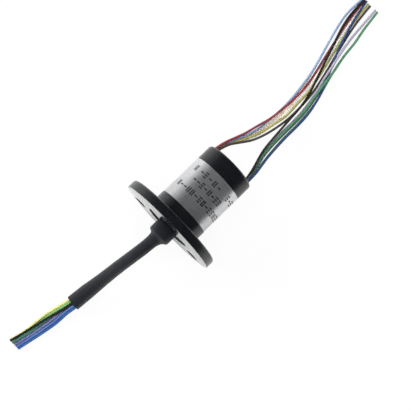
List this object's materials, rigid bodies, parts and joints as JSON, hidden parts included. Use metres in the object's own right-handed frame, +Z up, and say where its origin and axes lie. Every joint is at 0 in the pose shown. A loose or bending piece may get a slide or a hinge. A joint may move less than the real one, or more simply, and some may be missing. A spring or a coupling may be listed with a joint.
{
  "type": "slip ring",
  "caption": "Miniature slip ring: round flange with mounting holes, slim black barrel with a silver band, end cap with loose coloured leads, and a rotor stub with a black sleeve over its leads.",
  "frame": {"origin": "centre of the flange's rear face, the one that rests on the panel, on the axis of rotation", "axes": "+X runs along the axis of rotation, from the mounting face through the body to the end cap; +Z is up and passes through one mounting hole; the loose leads hang down to the level of the flange's lowest point"},
  "size_m": [0.1132, 0.0246, 0.0246],
  "materials": {
    "housing_plastic": "polished black moulding",
    "cap_plastic": "satin black moulding with a polished rim",
    "label_foil": "brushed foil, printed with plain dashes",
    "rotor_plastic": "polished black moulding",
    "spacer_plastic": "matt black",
    "bearing_steel": "ground",
    "ball_steel": "polished",
    "cage_brass": "pressed, satin",
    "clip_steel": "phosphated",
    "ring_gold": "gold plated, polished",
    "brush_gold": "gold alloy wire",
    "board_laminate": "green laminate",
    "potting_resin": "black resin",
    "shrink_sleeve": "matt black",
    "lead_black": "smooth insulation",
    "lead_brown": "smooth insulation",
    "lead_red": "smooth insulation",
    "lead_orange": "smooth insulation",
    "lead_yellow": "smooth insulation",
    "lead_green": "smooth insulation",
    "lead_blue": "smooth insulation",
    "lead_violet": "smooth insulation",
    "lead_grey": "smooth insulation",
    "lead_white": "smooth insulation",
    "lead_light_green": "smooth insulation",
    "lead_light_blue": "smooth insulation"
  },
  "bodies": {
    "housing": {"flange_housing": "housing_plastic", "label_band": "label_foil", "end_cap": "cap_plastic", "front_bearing_outer_race": "bearing_steel", "rear_bearing_outer_race": "bearing_steel", "brush_board_a": "board_laminate", "brush_board_b": "board_laminate", "brushes_a": "brush_gold", "brushes_b": "brush_gold", "wire_potting_a": "potting_resin", "wire_potting_b": "potting_resin", "stator_wire_black": "lead_black", "stator_wire_brown": "lead_brown", "stator_wire_red": "lead_red", "stator_wire_orange": "lead_orange", "stator_wire_yellow": "lead_yellow", "stator_wire_green": "lead_green", "stator_wire_blue": "lead_blue", "stator_wire_violet": "lead_violet", "stator_wire_grey": "lead_grey", "stator_wire_white": "lead_white", "stator_wire_light_green": "lead_light_green", "stator_wire_light_blue": "lead_light_blue"},
    "rotor": {"rotor_shaft": "rotor_plastic", "ring_spacers": "spacer_plastic", "front_bearing_inner_race": "bearing_steel", "rear_bearing_inner_race": "bearing_steel", "retaining_clip": "clip_steel", "rotor_potting": "potting_resin", "heat_shrink_sleeve": "shrink_sleeve", "contact_ring_01": "ring_gold", "contact_ring_02": "ring_gold", "contact_ring_03": "ring_gold", "contact_ring_04": "ring_gold", "contact_ring_05": "ring_gold", "contact_ring_06": "ring_gold", "contact_ring_07": "ring_gold", "contact_ring_08": "ring_gold", "contact_ring_09": "ring_gold", "contact_ring_10": "ring_gold", "contact_ring_11": "ring_gold", "contact_ring_12": "ring_gold", "rotor_wire_black": "lead_black", "rotor_wire_brown": "lead_brown", "rotor_wire_red": "lead_red", "rotor_wire_orange": "lead_orange", "rotor_wire_yellow": "lead_yellow", "rotor_wire_green": "lead_green", "rotor_wire_blue": "lead_blue", "rotor_wire_violet": "lead_violet", "rotor_wire_grey": "lead_grey", "rotor_wire_white": "lead_white", "rotor_wire_light_green": "lead_light_green", "rotor_wire_light_blue": "lead_light_blue"},
    "front_ball_set": {"front_balls": "ball_steel", "front_cage": "cage_brass"},
    "rear_ball_set": {"rear_balls": "ball_steel", "rear_cage": "cage_brass"}
  },
  "joints": [
    {"name": "rotor_spin", "type": "hinge", "parent": "housing", "child": "rotor", "pos_m": [0, 0, 0], "axis": [1, 0, 0], "continuous": true},
    {"name": "front_balls_orbit", "type": "hinge", "parent": "housing", "child": "front_ball_set", "pos_m": [0, 0, 0], "axis": [1, 0, 0], "continuous": true},
    {"name": "rear_balls_orbit", "type": "hinge", "parent": "housing", "child": "rear_ball_set", "pos_m": [0, 0, 0], "axis": [1, 0, 0], "continuous": true}
  ],
  "couplings": [
    {"joint": "front_balls_orbit", "follows": "rotor_spin", "ratio": 0.425},
    {"joint": "rear_balls_orbit", "follows": "rotor_spin", "ratio": 0.4111}
  ]
}
